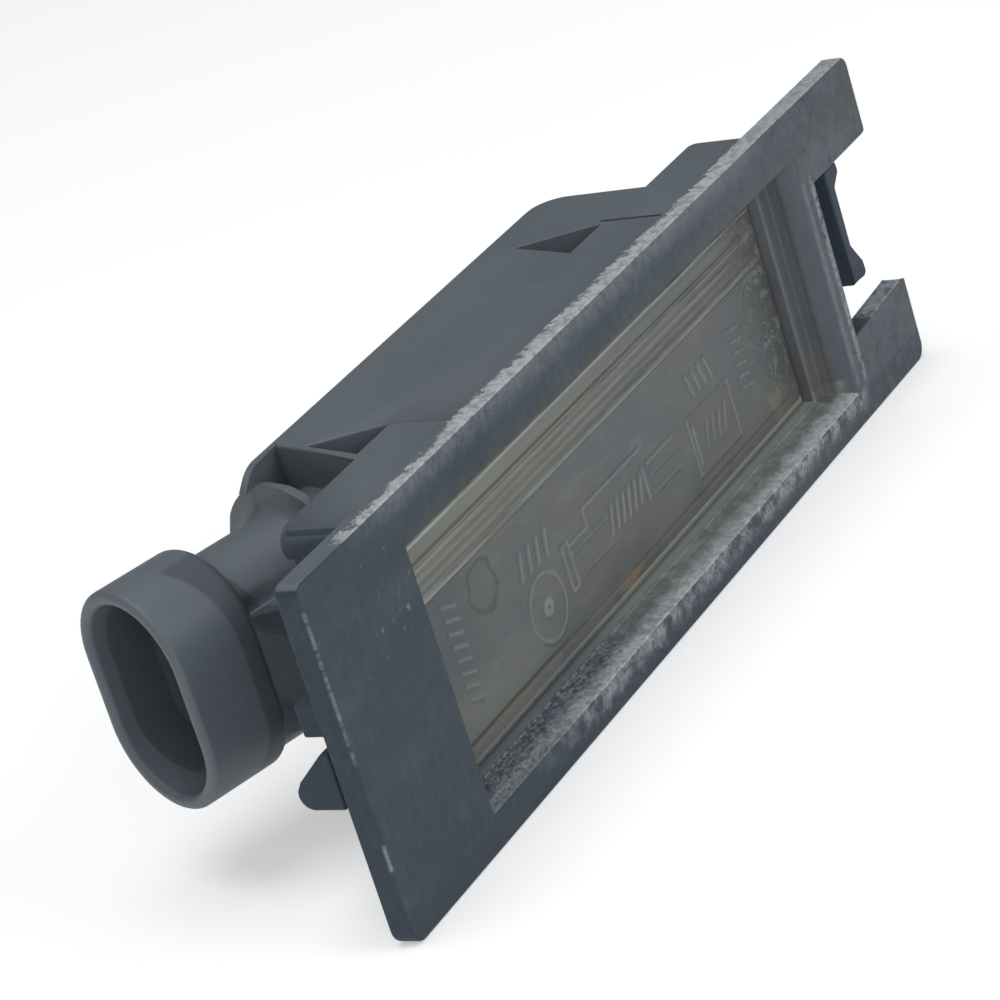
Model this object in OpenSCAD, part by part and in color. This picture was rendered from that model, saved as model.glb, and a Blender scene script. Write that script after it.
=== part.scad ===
// Number plate lamp: a long flange with a recessed ribbed lens, a festoon bulb behind it,
// and an oval plug socket at the left end. Millimetres, Z up, the lens faces -Y.
// The origin is the centre of the flange's rear face, which seats on the body panel.

/* [Part to draw] */
// Sub-part to draw, or all of them

/* [Flange] */
// Length of the flange
plate_length = 87.5; // [80:0.5:110]
// Height of the flange
plate_height = 26; // [25:0.5:34]
// Thickness of the flange
plate_thick = 1.8; // [1.4:0.1:2.6]
// Corner radius at the left end of the flange
plate_corner = 1.2; // [0.5:0.1:2.5]
// How far the screwdriver notch cuts into the right end
notch_depth = 10.2; // [7:0.1:11]
// Height of each tab above and below the notch
tab_height = 6.55; // [5:0.05:8]
// How much the lower tab rises towards its end
tab_rise = 0.5; // [0:0.05:1]
// Corner radius of the two tabs
tab_corner = 0.9; // [0.4:0.1:2]

/* [Window] */
// Width of the flange to the left and right of the window
border_side = 12.3; // [12:0.1:16]
// Height of the flange above the window
border_top = 3.65; // [3:0.05:6]
// Height of the flange below the window
border_bottom = 2.5; // [2.2:0.1:5]
// Depth of the sloping part of the recess
recess_depth = 2.7; // [2:0.1:3.4]
// How much the recess narrows at each end
recess_draft = 0.9; // [0.4:0.1:1.2]
// Width of the ledge at each end of the recess
ledge_width = 1.5; // [1:0.1:2.5]

/* [Lens] */
// Depth of the lens face below the flange face
lens_depth = 3.5; // [3:0.1:4]
// Thickness of the lens plate
lens_thick = 1.7; // [1.2:0.1:2]
// Clearance all round the lens
lens_gap = 0.2; // [0.1:0.05:0.4]
// Thickness of the rim behind the lens plate
rim_thick = 1.2; // [0.8:0.1:2]
// Height of the ribs on the lens face
rib_height = 0.3; // [0.15:0.05:0.6]
// Height of the snap lugs on the lens
snap_height = 0.45; // [0.2:0.05:0.6]

/* [Housing] */
// Wall thickness of the housing
wall = 1.4; // [1.1:0.1:1.8]
// Distance from the flange's top edge to the housing
lip_top = 1.8; // [1:0.1:2]
// Distance from the flange's bottom edge to the housing
lip_bottom = 1.1; // [0.6:0.1:1.2]
// Distance from the flange's left edge to the shallow box
skirt_left = 11.9; // [11:0.1:12.2]
// Distance from the flange's right edge to the shallow box
skirt_right = 11.3; // [10.8:0.1:11.8]
// Depth of the shallow box behind the flange
skirt_depth = 7.2; // [7:0.1:9]
// Distance from the flange's left edge to the deep box
body_left = 22.4; // [21:0.1:24]
// Distance from the flange's right edge to the deep box
body_right = 19.6; // [18:0.1:21]
// Depth of the deep box behind the flange
body_depth = 16.3; // [15.8:0.1:20]
// Radius of the deep box's rear corners
body_corner = 2.6; // [1:0.1:3]
// Depth of the triangular pockets in the top
pocket_depth = 2; // [1:0.1:2.4]

/* [Socket] */
// Distance of the socket mouth from the flange's left edge
socket_x = 7.1; // [6:0.1:8]
// Distance of the socket mouth behind the flange
socket_y = 18.8; // [17.5:0.1:20]
// Height of the socket axis above the middle of the flange
socket_rise = 1.4; // [0.8:0.1:2]
// Angle between the socket axis and the flange
socket_yaw = 19.6; // [15:0.1:23]
// Half width of the socket collar
collar_half_width = 5.6; // [5:0.05:6]
// Half height of the socket collar
collar_half_height = 8.25; // [7.6:0.05:8.4]
// Length of the socket collar
collar_length = 7; // [5:0.1:7.4]
// Wall thickness of the socket collar
collar_wall = 1.05; // [0.7:0.05:1.2]
// Depth of the socket from its mouth to its floor
socket_depth = 16.2; // [14:0.1:16.5]

/* [Bulb and contacts] */
// Space between the glass and the lens, and behind the glass
bulb_room = 0.75; // [0.5:0.05:1.2]
// Gap between the end wall and the bulb, at the rear wall
bulb_left = 1.1; // [0.8:0.05:2]
// Distance from the bulb to the deep box's right wall
bulb_right = 4.3; // [3.8:0.1:6]
// Wall thickness of the glass
glass_wall = 0.5; // [0.4:0.05:0.8]
// Radius of the end caps
cap_radius = 3.45; // [3:0.05:3.8]
// Thickness of the contact strip
strip_thick = 0.5; // [0.3:0.05:0.6]
// Width of the blades in the socket
blade_width = 2.8; // [2.2:0.1:2.9]
// Distance between the two blades
blade_pitch = 6; // [5.8:0.1:6.2]
// Length of the filament
filament_length = 8; // [5:0.5:12]

/* [Hidden] */
$fn = 64;

// housing outline
top_z = plate_height - lip_top;
low_z = lip_bottom;
skirt_x1 = plate_length - skirt_right;
body_x1 = plate_length - body_right;
tilt = tan(socket_yaw);
end_lean = [sin(socket_yaw), cos(socket_yaw)];
end_normal = [cos(socket_yaw), -sin(socket_yaw)];
body_anchor = [body_left, skirt_depth + 0.4];
socket_z = plate_height / 2 + socket_rise;

// window, recess and lens pocket
win_x0 = border_side;
win_x1 = plate_length - border_side;
win_z0 = border_bottom;
win_z1 = plate_height - border_top;
shelf_y = recess_depth - plate_thick;
in_x0 = win_x0 + recess_draft;
in_x1 = win_x1 - recess_draft;
in_z0 = win_z0 + 0.45;
in_z1 = win_z1 - 0.45;
seat_y = skirt_depth - wall;
pkt_x0 = in_x0 + ledge_width;
pkt_x1 = in_x1 - ledge_width;
pkt_z0 = in_z0 + 0.15;
pkt_z1 = in_z1 - 0.2;

// lens
lens_x0 = pkt_x0 + lens_gap;
lens_x1 = pkt_x1 - lens_gap;
lens_z0 = pkt_z0 + lens_gap;
lens_z1 = pkt_z1 - lens_gap;
lens_y = lens_depth - plate_thick;
snap_y = (lens_y + lens_thick + seat_y) / 2;
snap_offset = 14;
snap_x = [plate_length / 2 - snap_offset, plate_length / 2 + snap_offset];

// cavity
cav_y1 = body_depth - wall;
cav_x1 = body_x1 - wall;
cav_z0 = low_z + wall;
cav_z1 = top_z - wall;

// bulb
lens_back = lens_y + lens_thick;
glass_radius = (cav_y1 - lens_back) / 2 - bulb_room;
bulb_y = (cav_y1 + lens_back) / 2;
bulb_z = plate_height / 2;
tip_left = end_at(cav_y1, wall) + bulb_left;
tip_right = body_x1 - bulb_right;
bulb_length = tip_right - tip_left;
bulb_x = (tip_left + tip_right) / 2;
hole_radius = 1.1;
cone_slope = 0.8;
cap_length = 6.5;
cap_wall = 0.3;
glass_half = bulb_length / 2 - cap_length - glass_radius + cap_radius - cap_wall - 0.05;
neck_radius = cap_radius - cap_wall;
neck_length = 3;
lead_radius = 0.2;

// where the end wall's inner face crosses the socket axis
wall_run = (body_anchor - [socket_x, socket_y]) * end_normal;
blade_inner = wall_run + wall;
blade_start = 5.5;
blade_edge = (blade_pitch + blade_width) / 2;
blade_near = (blade_pitch - blade_width) / 2;

// how far across the socket the rear wall's inner face lies, at the end wall
rear_across = (cav_y1 - socket_y + blade_inner * sin(socket_yaw)) / cos(socket_yaw);

// contact strips
foot_width = 2.6;
foot_z = bulb_z - 7;
foot_bend = 1.2;
tab_half = 2.3;

// unit vector, and the two tangent points and the centre of a rounded corner
function unit(v) = v / norm(v);
function half_turn(p, q, r) = acos(unit(p - q) * unit(r - q)) / 2;
function tangent_in(p, q, r, rad) = q + unit(p - q) * rad / tan(half_turn(p, q, r));
function tangent_out(p, q, r, rad) = q + unit(r - q) * rad / tan(half_turn(p, q, r));
function corner_centre(p, q, r, rad) =
    q + unit(unit(p - q) + unit(r - q)) * rad / sin(half_turn(p, q, r));

// flat shape with convex corners, each rounded by its own radius
module rounded_poly(pts, rads) {
    n = len(pts);
    polygon([for (i = [0 : n - 1]) each rads[i] > 0
        ? [tangent_in(pts[(i + n - 1) % n], pts[i], pts[(i + 1) % n], rads[i]),
            tangent_out(pts[(i + n - 1) % n], pts[i], pts[(i + 1) % n], rads[i])]
        : [pts[i]]]);
    for (i = [0 : n - 1])
        if (rads[i] > 0)
            translate(corner_centre(pts[(i + n - 1) % n], pts[i], pts[(i + 1) % n], rads[i]))
                circle(r = rads[i]);
}

// upright oval with half circles above and below
module oval(a, b) {
    translate([-a, a - b])
        square([2 * a, 2 * (b - a)]);
    translate([0, b - a])
        circle(r = a);
    translate([0, a - b])
        circle(r = a);
}

// box between two corners
module box(p, q) {
    translate(p)
        cube(q - p);
}

// moves the drawing frame from the flange's lower left rear corner to its centre
module placed() {
    translate([-plate_length / 2, 0, -plate_height / 2])
        children();
}

// X is across the socket, Y is up and Z runs inwards from the mouth
module at_socket() {
    translate([socket_x, socket_y, socket_z])
        rotate([90, 0, 90 - socket_yaw])
            children();
}

// extrudes a shape drawn in X and Z along +Y from y0 to y1
module back_extrude(y0, y1) {
    translate([0, y1, 0])
        rotate([90, 0, 0])
            linear_extrude(height = y1 - y0)
                children();
}

// X axis of the bulb, from its left tip
module along_bulb() {
    translate([tip_left, bulb_y, bulb_z])
        rotate([0, 90, 0])
            children();
}

module flange() {
    back_extrude(-plate_thick, 0)
        difference() {
            rounded_poly([[0, 0], [plate_length, 0], [plate_length, plate_height], [0, plate_height]],
                [plate_corner, tab_corner * 1.4, tab_corner, plate_corner * 0.6]);
            polygon([[plate_length - notch_depth, tab_height], [plate_length + 0.01, tab_height + tab_rise],
                [plate_length + 0.01, plate_height - tab_height],
                [plate_length - notch_depth, plate_height - tab_height]]);
        }
}

module skirt_box() {
    translate([0, 0, low_z])
        linear_extrude(height = top_z - low_z)
            rounded_poly([[skirt_left, -0.5], [skirt_x1, -0.5], [skirt_x1, skirt_depth], [skirt_left, skirt_depth]],
                [0, 0, 0.8, 0.8]);
    back_extrude(-0.5, skirt_depth)
        translate([skirt_left + nose_radius - nose_reach, top_z - nose_radius - 0.05])
            circle(r = nose_radius);
}

// round nose along the top of the shallow box's left end
nose_radius = 1.2;
nose_reach = 0.4;

function end_at(y, off) = body_anchor[0] + (y - body_anchor[1]) * tilt + off / cos(socket_yaw);

module deep_box() {
    translate([0, 0, low_z])
        linear_extrude(height = top_z - low_z)
            rounded_poly([[end_at(1, 0), 1], [body_x1 + 0.2, 1], [body_x1 - 0.3, body_depth],
                [end_at(body_depth, 0), body_depth]], [0, 0, body_corner, body_corner * 0.7]);
}

module deep_cavity() {
    translate([0, 0, cav_z0])
        linear_extrude(height = cav_z1 - cav_z0)
            polygon([[end_at(seat_y - 1, wall), seat_y - 1], [cav_x1, seat_y - 1],
                [cav_x1 - 0.3, cav_y1], [end_at(cav_y1, wall), cav_y1]]);
}

module recess() {
    hull() {
        box([win_x0 - 0.01, -plate_thick - 0.01, win_z0 - 0.01], [win_x1 + 0.01, -plate_thick, win_z1 + 0.01]);
        box([in_x0, shelf_y - 0.01, in_z0], [in_x1, shelf_y, in_z1]);
    }
}

// plan of a triangular pocket whose front left corner is at x
module pocket_plan(x, inset) {
    polygon([[x + inset, body_anchor[1]], [x + pocket_width, body_anchor[1]],
        [x + 2.1 + inset * 0.6, body_anchor[1] + pocket_length - inset]]);
}

pocket_width = 5.3;
pocket_length = 5.9;
pocket_right_x = body_x1 - 12.1;

module pockets() {
    translate([0, 0, top_z - pocket_depth])
        linear_extrude(height = pocket_depth + 1) {
            pocket_plan(body_left, 0.7);
            pocket_plan(pocket_right_x, 0);
        }
    for (x = [body_left + pocket_width - 0.3, pocket_right_x + pocket_width + 0.2])
        box([x, 0, top_z - 0.4], [x + 0.35, body_anchor[1] + 0.3, top_z + 1]);
}

// thicker roof under each pocket
module pocket_pads() {
    translate([0, 0, top_z - pocket_depth - 1.1])
        linear_extrude(height = pocket_depth + 1) {
            translate([body_left - 0.2, body_anchor[1] - 0.9])
                square([pocket_width + 1.7, pocket_length + 2.3]);
            translate([pocket_right_x - 1.2, body_anchor[1] - 0.9])
                square([pocket_width + 2.5, pocket_length + 2.3]);
        }
}

// carries a wall profile round an upright oval; the profile's X is the distance from the end centres
module round_oval(a, b) {
    translate([0, b - a, 0])
        rotate_extrude(angle = 180)
            children();
    translate([0, a - b, 0])
        rotate([0, 0, 180])
            rotate_extrude(angle = 180)
                children();
    for (turn = [0, 180])
        rotate([0, 0, turn])
            translate([0, b - a, 0])
                rotate([90, 0, 0])
                    linear_extrude(height = 2 * (b - a))
                        children();
}

// collar wall with a rounded mouth edge, a rounded shoulder and a floor that meets the neck
module collar_profile() {
    rounded_poly([[collar_half_width - collar_wall, 0], [collar_half_width, 0],
        [collar_half_width, collar_length], [collar_half_width - collar_wall, collar_length]],
        [mouth_radius, mouth_radius, shoulder_radius, 0]);
    translate([collar_half_width - collar_wall - 2.5, collar_length - 1.1])
        square([2.6, 1.1]);
}

mouth_radius = collar_wall * 0.47;
shoulder_radius = collar_wall * 0.9;
tube_half_width = collar_half_width - 0.5;
tube_half_height = collar_half_height - 1;
tube_drop = 0.4;
rim_depth = wall_run - 3.5;
rim_plate = 0.7;
rim_half_width = collar_half_width + 1.95;
rim_half_height = collar_half_height + 0.5;
flare = 1.1;

// collar, neck, and a rim that the neck widens into
module socket_shell() {
    at_socket() {
        round_oval(collar_half_width, collar_half_height)
            collar_profile();
        translate([0, -tube_drop, 0]) {
            translate([0, 0, collar_length - 2])
                linear_extrude(height = wall_run + 2.2 - collar_length)
                    oval(tube_half_width, tube_half_height);
            round_oval(tube_half_width, tube_half_height)
                polygon([[tube_half_width - 0.4, rim_depth - flare], [tube_half_width, rim_depth - flare],
                    [tube_half_width + flare * 0.35, rim_depth - flare * 0.35], [tube_half_width + flare, rim_depth],
                    [tube_half_width + flare, rim_depth + 0.2], [tube_half_width - 0.4, rim_depth + 0.2]]);
        }
        translate([0, 0, rim_depth])
            linear_extrude(height = rim_plate)
                oval(rim_half_width, rim_half_height);
    }
    translate([0, 0, socket_z - 5])
        linear_extrude(height = 8.8)
            polygon([[socket_x + 4, skirt_depth + 4.8], [socket_x + 7.1, skirt_depth - 0.3],
                [socket_x + 11.9, skirt_depth - 0.3], [socket_x + 11.9, skirt_depth + 3],
                [socket_x + 5.4, skirt_depth + 6.3]]);
}

module socket_hollow() {
    at_socket() {
        translate([0, 0, -0.5])
            linear_extrude(height = collar_length - 0.5)
                oval(collar_half_width - collar_wall, collar_half_height - collar_wall);
        translate([0, -0.5, collar_length - 1.5])
            linear_extrude(height = socket_depth - collar_length + 1.5)
                oval(collar_half_width - 1.4, collar_half_height - 2.2);
    }
}

// slot that one blade passes through
module blade_slot(dy) {
    at_socket()
        box([-strip_thick / 2, dy - blade_width / 2, socket_depth - 0.5],
            [strip_thick / 2, dy + blade_width / 2, blade_inner + 0.2]);
}

// thin fin of the rear wall, carried on past the sloping end wall to the back of the socket's rim
module rear_web() {
    web_x = end_at(body_depth, 0) - 5.4;
    web_r = 3;
    difference() {
        back_extrude(body_depth - web_thick, body_depth) {
            translate([web_x, low_z + 6])
                square([web_r + 0.1, top_z - low_z - 6 - web_r]);
            translate([web_x + web_r, low_z + 6])
                square([4, top_z - low_z - 6]);
            translate([web_x + web_r, top_z - web_r])
                circle(r = web_r);
        }
        at_socket()
            box([-4, -plate_height, rim_depth - 6], [12, rim_half_height - 0.3, rim_depth + rim_plate / 2]);
    }
}

web_thick = 0.6;

// sprung latch behind the notch: a tongue, two noses and its root on the shallow box
panel_gap = 1.8;
hook_x = 2.2;
hook_z = plate_height / 2 - 4.15;
latch_x = plate_length - 4.4;
latch_z0 = plate_height / 2 - 4.7;
latch_z1 = plate_height / 2 + 5.1;

module latch() {
    translate([0, 0, latch_z0])
        linear_extrude(height = latch_z1 - latch_z0)
            polygon([[skirt_x1 - 0.5, skirt_depth - 1.6], [latch_x, skirt_depth - 1.6],
                [latch_x, 0.3], [latch_x + 1.1, 0.3], [latch_x + 1.1, skirt_depth - 0.8],
                [latch_x + 0.3, skirt_depth], [skirt_x1 - 0.5, skirt_depth]]);
    back_extrude(0.3, 2.6)
        translate([latch_x + 1, 0]) {
            polygon([[0, latch_z0], [1.1, latch_z0 - 0.1], [1.5, latch_z0 + 0.2], [1.4, latch_z0 + 1.2],
                [0.6, latch_z0 + 2.3], [0, latch_z0 + 3.2]]);
            polygon([[0, latch_z1], [1.2, latch_z1], [1.3, latch_z1 - 0.9], [0, latch_z1 - 1.9]]);
        }
}

// hook that goes behind the panel's edge at the left end, and the lug above it
module hook() {
    translate([hook_x, 0, 0])
        rotate([90, 0, 90])
            linear_extrude(height = skirt_left + 0.5 - hook_x) {
                polygon([[panel_gap, hook_z], [4.2, hook_z], [5.2, hook_z + 1], [4.8, hook_z + 2], [2.6, hook_z + 4],
                    [panel_gap, hook_z + 4.3]]);
                translate([4.15, hook_z + 1.05])
                    circle(r = 1.05);
            }
    box([hook_x + 0.8, -0.2, hook_z + 4.9], [hook_x + 3.4, 3.8, hook_z + 7.4]);
}

module housing() {
    color([0.44, 0.47, 0.51])
        placed()
            difference() {
                union() {
                    difference() {
                        union() {
                            flange();
                            skirt_box();
                            deep_box();
                            rear_web();
                            socket_shell();
                            latch();
                            hook();
                        }
                        difference() {
                            deep_cavity();
                            pocket_pads();
                        }
                    }
                }
                recess();
                box([pkt_x0, shelf_y - 0.1, pkt_z0], [pkt_x1, seat_y, pkt_z1]);
                pockets();
                socket_hollow();
                blade_slot(blade_pitch / 2);
                blade_slot(-blade_pitch / 2);
                for (x = snap_x)
                    box([x - 3.2, snap_y - 0.6, pkt_z0 - snap_height], [x + 3.2, snap_y + 0.6, pkt_z1 + snap_height]);
            }
}

module lens() {
    color([0.78, 0.79, 0.72, 0.55])
        placed() {
            difference() {
                box([lens_x0, lens_y, lens_z0], [lens_x1, seat_y, lens_z1]);
                box([lens_x0 + rim_thick, lens_y + lens_thick, lens_z0 + rim_thick],
                    [lens_x1 - rim_thick, seat_y + 1, lens_z1 - rim_thick]);
            }
            for (r = [[1.5, 0.5], [3.4, 0.4], [4.05, 0.4], [4.7, 0.4], [5.5, 0.6], [lens_z1 - lens_z0 - 0.95, 1.2]])
                box([lens_x0 + 0.8, lens_y - rib_height, lens_z1 - r[0] - r[1] / 2],
                    [lens_x1 - 0.8, lens_y + 0.1, lens_z1 - r[0] + r[1] / 2]);
            for (x = snap_x) {
                box([x - 3, snap_y - 0.5, lens_z0 - lens_gap - snap_height + 0.1],
                    [x + 3, snap_y + 0.5, lens_z0 + 0.5]);
                box([x - 3, snap_y - 0.5, lens_z1 - 0.5],
                    [x + 3, snap_y + 0.5, lens_z1 + lens_gap + snap_height - 0.1]);
            }
        }
}

module contact_left() {
    color([0.78, 0.66, 0.36])
        placed() {
            difference() {
                union() {
                    box([tip_left - strip_thick, bulb_y - tab_half, bulb_z - tab_half],
                        [tip_left, cav_y1, socket_z + blade_edge]);
                    intersection() {
                        at_socket()
                            box([-strip_thick / 2, blade_near, blade_start],
                                [strip_thick / 2, blade_edge, blade_inner + tip_left]);
                        box([0, 0, 0], [tip_left, body_depth * 3, plate_height]);
                    }
                }
                translate([tip_left - strip_thick * 2, bulb_y, bulb_z])
                    rotate([0, 90, 0])
                        cylinder(r = hole_radius, h = strip_thick * 3);
            }
        }
}

module contact_right() {
    color([0.78, 0.66, 0.36])
        placed() {
            difference() {
                box([tip_right, bulb_y - tab_half, foot_z],
                    [tip_right + strip_thick, cav_y1, bulb_z + tab_half]);
                translate([tip_right - strip_thick, bulb_y, bulb_z])
                    rotate([0, 90, 0])
                        cylinder(r = hole_radius, h = strip_thick * 3);
            }
            box([end_at(cav_y1, wall) + 0.01, cav_y1 - strip_thick, foot_z],
                [tip_right + 0.1, cav_y1, foot_z + foot_width]);
            intersection() {
                at_socket() {
                    box([-strip_thick / 2, -blade_edge, blade_start],
                        [strip_thick / 2, -blade_near, blade_inner + 0.1]);
                    box([-foot_bend, foot_z - socket_z, blade_inner],
                        [strip_thick / 2, -blade_near, blade_inner + strip_thick]);
                    box([-foot_bend, foot_z - socket_z, blade_inner],
                        [rear_across + foot_bend, foot_z - socket_z + foot_width, blade_inner + strip_thick]);
                }
                box([0, 0, 0], [tip_right, cav_y1, plate_height]);
            }
        }
}

// hollow glass: a tube with rounded shoulders and a narrow neck in each cap
module glass_profile(r, neck, half, neck_end) {
    shoulder = r - neck;
    translate([0, -half])
        square([r, 2 * half]);
    translate([0, -half - shoulder])
        square([neck, 2 * (half + shoulder)]);
    for (s = [-1, 1])
        translate([neck, s * half])
            circle(r = shoulder);
    translate([0, -half - neck_end])
        square([neck, 2 * (half + neck_end)]);
}

module bulb_glass() {
    color([0.9, 0.92, 0.93, 0.3])
        placed()
            translate([bulb_x, bulb_y, bulb_z])
                rotate([0, 90, 0])
                    rotate_extrude($fn = 64)
                        difference() {
                            intersection() {
                                glass_profile(glass_radius, neck_radius, glass_half, neck_length + glass_radius - neck_radius);
                                translate([0, -bulb_length])
                                    square([2 * glass_radius, 2 * bulb_length]);
                            }
                            intersection() {
                                glass_profile(glass_radius - glass_wall, neck_radius - glass_wall, glass_half,
                                    neck_length + glass_radius - neck_radius - glass_wall);
                                translate([-lead_radius, -bulb_length])
                                    square([2 * glass_radius, 2 * bulb_length]);
                            }
                            translate([-lead_radius, -bulb_length])
                                square([2 * lead_radius, 2 * bulb_length]);
                        }
}

module cap() {
    tip = 0.25;
    cone_end = tip + (cap_radius - hole_radius) / cone_slope;
    rotate_extrude($fn = 48)
        polygon([[lead_radius, -tip], [hole_radius - tip * cone_slope, -tip], [cap_radius, cone_end - tip],
            [cap_radius, cap_length], [neck_radius, cap_length], [neck_radius, cone_end + 0.1],
            [lead_radius, cap_wall - tip + 0.1]]);
}

module cap_left() {
    color([0.72, 0.72, 0.70])
        placed()
            along_bulb()
                cap();
}

module cap_right() {
    color([0.72, 0.72, 0.70])
        placed()
            along_bulb()
                translate([0, 0, bulb_length])
                    mirror([0, 0, 1])
                        cap();
}

module lead() {
    translate([0, 0, -0.25])
        cylinder(r = lead_radius, h = bulb_length / 2 - filament_length / 2 + 0.25, $fn = 24);
}

module lead_left() {
    color([0.6, 0.58, 0.55])
        placed()
            along_bulb()
                lead();
}

module lead_right() {
    color([0.6, 0.58, 0.55])
        placed()
            along_bulb()
                translate([0, 0, bulb_length])
                    mirror([0, 0, 1])
                        lead();
}

module filament() {
    color([0.35, 0.35, 0.36])
        placed()
            along_bulb()
                translate([0, 0, (bulb_length - filament_length) / 2])
                    cylinder(r = 0.35, h = filament_length, $fn = 24);
}

housing();
lens();
contact_left();
contact_right();
bulb_glass();
cap_left();
cap_right();
lead_left();
lead_right();
filament();
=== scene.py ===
"""Looks for a number plate lamp: weathered housing, dull ribbed lens, bulb, contacts and a studio.

Lengths are in metres in the part's own frame: X along the flange, Z up, and the lens faces -Y.
"""

import math

import bmesh
import bpy
import numpy as np
from mathutils import Matrix, Vector
from mathutils.bvhtree import BVHTree


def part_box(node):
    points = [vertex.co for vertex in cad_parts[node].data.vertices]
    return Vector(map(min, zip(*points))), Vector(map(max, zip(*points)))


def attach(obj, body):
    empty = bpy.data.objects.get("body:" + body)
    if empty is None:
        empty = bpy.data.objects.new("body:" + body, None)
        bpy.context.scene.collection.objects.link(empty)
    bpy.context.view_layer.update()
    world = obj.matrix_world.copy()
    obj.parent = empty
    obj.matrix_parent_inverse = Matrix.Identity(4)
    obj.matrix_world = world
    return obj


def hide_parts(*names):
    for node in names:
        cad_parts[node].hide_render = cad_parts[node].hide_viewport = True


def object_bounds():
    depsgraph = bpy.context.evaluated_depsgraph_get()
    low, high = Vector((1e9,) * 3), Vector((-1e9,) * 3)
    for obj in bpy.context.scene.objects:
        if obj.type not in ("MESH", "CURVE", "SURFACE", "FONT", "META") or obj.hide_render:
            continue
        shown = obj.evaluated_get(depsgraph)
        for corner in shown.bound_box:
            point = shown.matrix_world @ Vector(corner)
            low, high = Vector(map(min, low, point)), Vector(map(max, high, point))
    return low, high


bl_info = {
    "name": "Number plate lamp",
    "version": (1, 0, 0),
    "blender": (4, 5, 0),
    "location": "View3D > Sidebar > Plate lamp",
    "description": "Dresses a number plate lamp with worn plastic, a dull lens and a bulb",
    "category": "Object",
}

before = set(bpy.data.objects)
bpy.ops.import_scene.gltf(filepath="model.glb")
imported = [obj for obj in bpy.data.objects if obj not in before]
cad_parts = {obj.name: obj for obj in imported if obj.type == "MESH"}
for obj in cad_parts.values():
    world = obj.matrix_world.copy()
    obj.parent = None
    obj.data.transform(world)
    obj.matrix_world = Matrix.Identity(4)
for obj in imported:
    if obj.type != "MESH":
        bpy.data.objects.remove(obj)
CAD_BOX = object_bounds()
MM = 0.001
TINY = 1e-18  # keeps a division clear of 0

# indices of refraction
HOUSING_IOR = 1.46
LENS_IOR = 1.49
GLASS_IOR = 1.5

# rounding of the housing's edges, in metres and degrees
WELD = 2e-6  # points nearer than this are one
SEAMS_CROSS = (0.0001, 0, 0.0014)  # near the flange's middle, at the height of the socket's middle
FLAT_TURN = 0.5  # faces that turn less than this are one face
SHARP_TURN = 32  # edges that turn more than this are rounded
ROOM_SHARE = 0.42  # part of a face's width that a rounding may take
TRIES = 6
STRAY = 0.00011  # farthest that a rounding may lie from the CAD solid
TAB_STRAY = 0.00045  # the same at the tabs' ends
TAB_END = 0.0015  # length of the tabs' ends

# the camera as fitted to the photo: place in metres, sensor and lens in millimetres
CAMERA_PLACE = (-0.218724, -0.139048, 0.101526)
CAMERA_RIGHT = (0.450031, -0.847112, -0.282620)
CAMERA_UP = (0.458953, -0.052085, 0.886932)
CAMERA_SENSOR = 36
CAMERA_LENS = 141.195


def corners(node):
    """The two corners of a node's box as numpy arrays."""
    low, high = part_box(node)
    return np.array(low), np.array(high)


LENS_LOW, LENS_HIGH = corners("lens")
HOUSING_LOW, HOUSING_HIGH = corners("housing")
FLANGE_X = (HOUSING_LOW[0], HOUSING_HIGH[0])
FLANGE_Z = (HOUSING_LOW[2], HOUSING_HIGH[2])
FACE_Y = HOUSING_LOW[1]


# ---- values a user may change


class HousingFinish(bpy.types.PropertyGroup):
    """Colours and wear of the housing."""

    plastic: bpy.props.FloatVectorProperty(
        name="Plastic",
        description="Colour of the moulded plastic",
        subtype="COLOR",
        size=3,
        min=0,
        max=1,
        default=(0.118, 0.142, 0.162),
    )
    worn: bpy.props.FloatVectorProperty(
        name="Worn plastic",
        description="Colour of rubbed and scratched edges",
        subtype="COLOR",
        size=3,
        min=0,
        max=1,
        default=(0.62, 0.67, 0.7),
    )
    # this dark colour is also painted shade on the flange's ends, the hook, the corner behind the flange and
    # the front's left part
    grime_and_shade: bpy.props.FloatVectorProperty(
        name="Grime",
        description="Colour of the plastic where dirt darkens it",
        subtype="COLOR",
        size=3,
        min=0,
        max=1,
        default=(0.03, 0.048, 0.068),
    )
    edge_radius: bpy.props.FloatProperty(
        name="Edge radius",
        description="Radius of the moulding's edges",
        subtype="DISTANCE",
        unit="LENGTH",
        min=0,
        max=0.0006,
        default=0.0002,
    )
    corner_radius: bpy.props.FloatProperty(
        name="Corner radius",
        description="Radius of the corners of the two tabs at the notch",
        subtype="DISTANCE",
        unit="LENGTH",
        min=0.0001,
        max=0.002,
        default=0.0009,
    )
    wear: bpy.props.FloatProperty(
        name="Wear",
        description="How far the pale wear spreads",
        subtype="FACTOR",
        min=0,
        max=1,
        default=0.5,
    )


class LensFinish(bpy.types.PropertyGroup):
    """Colours and relief of the lens."""

    clear: bpy.props.FloatVectorProperty(
        name="Lens",
        description="Colour of the dull lens",
        subtype="COLOR",
        size=3,
        min=0,
        max=1,
        default=(0.1, 0.112, 0.122),
    )
    stain: bpy.props.FloatVectorProperty(
        name="Stain",
        description="Colour of the dirt that lies along the lower edge",
        subtype="COLOR",
        size=3,
        min=0,
        max=1,
        default=(0.3, 0.2, 0.11),
    )
    relief: bpy.props.FloatProperty(
        name="Relief",
        description="Height of the moulded marks",
        subtype="DISTANCE",
        unit="LENGTH",
        min=0,
        max=0.0004,
        default=0.00012,
    )


class BulbFinish(bpy.types.PropertyGroup):
    """Metal and glass of the bulb and its contacts."""

    coil_turns: bpy.props.IntProperty(
        name="Coil turns",
        description="Turns of the filament",
        min=8,
        max=60,
        default=26,
    )
    brass: bpy.props.FloatVectorProperty(
        name="Brass",
        description="Colour of the contact strips",
        subtype="COLOR",
        size=3,
        min=0,
        max=1,
        default=(0.72, 0.56, 0.27),
    )


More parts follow.
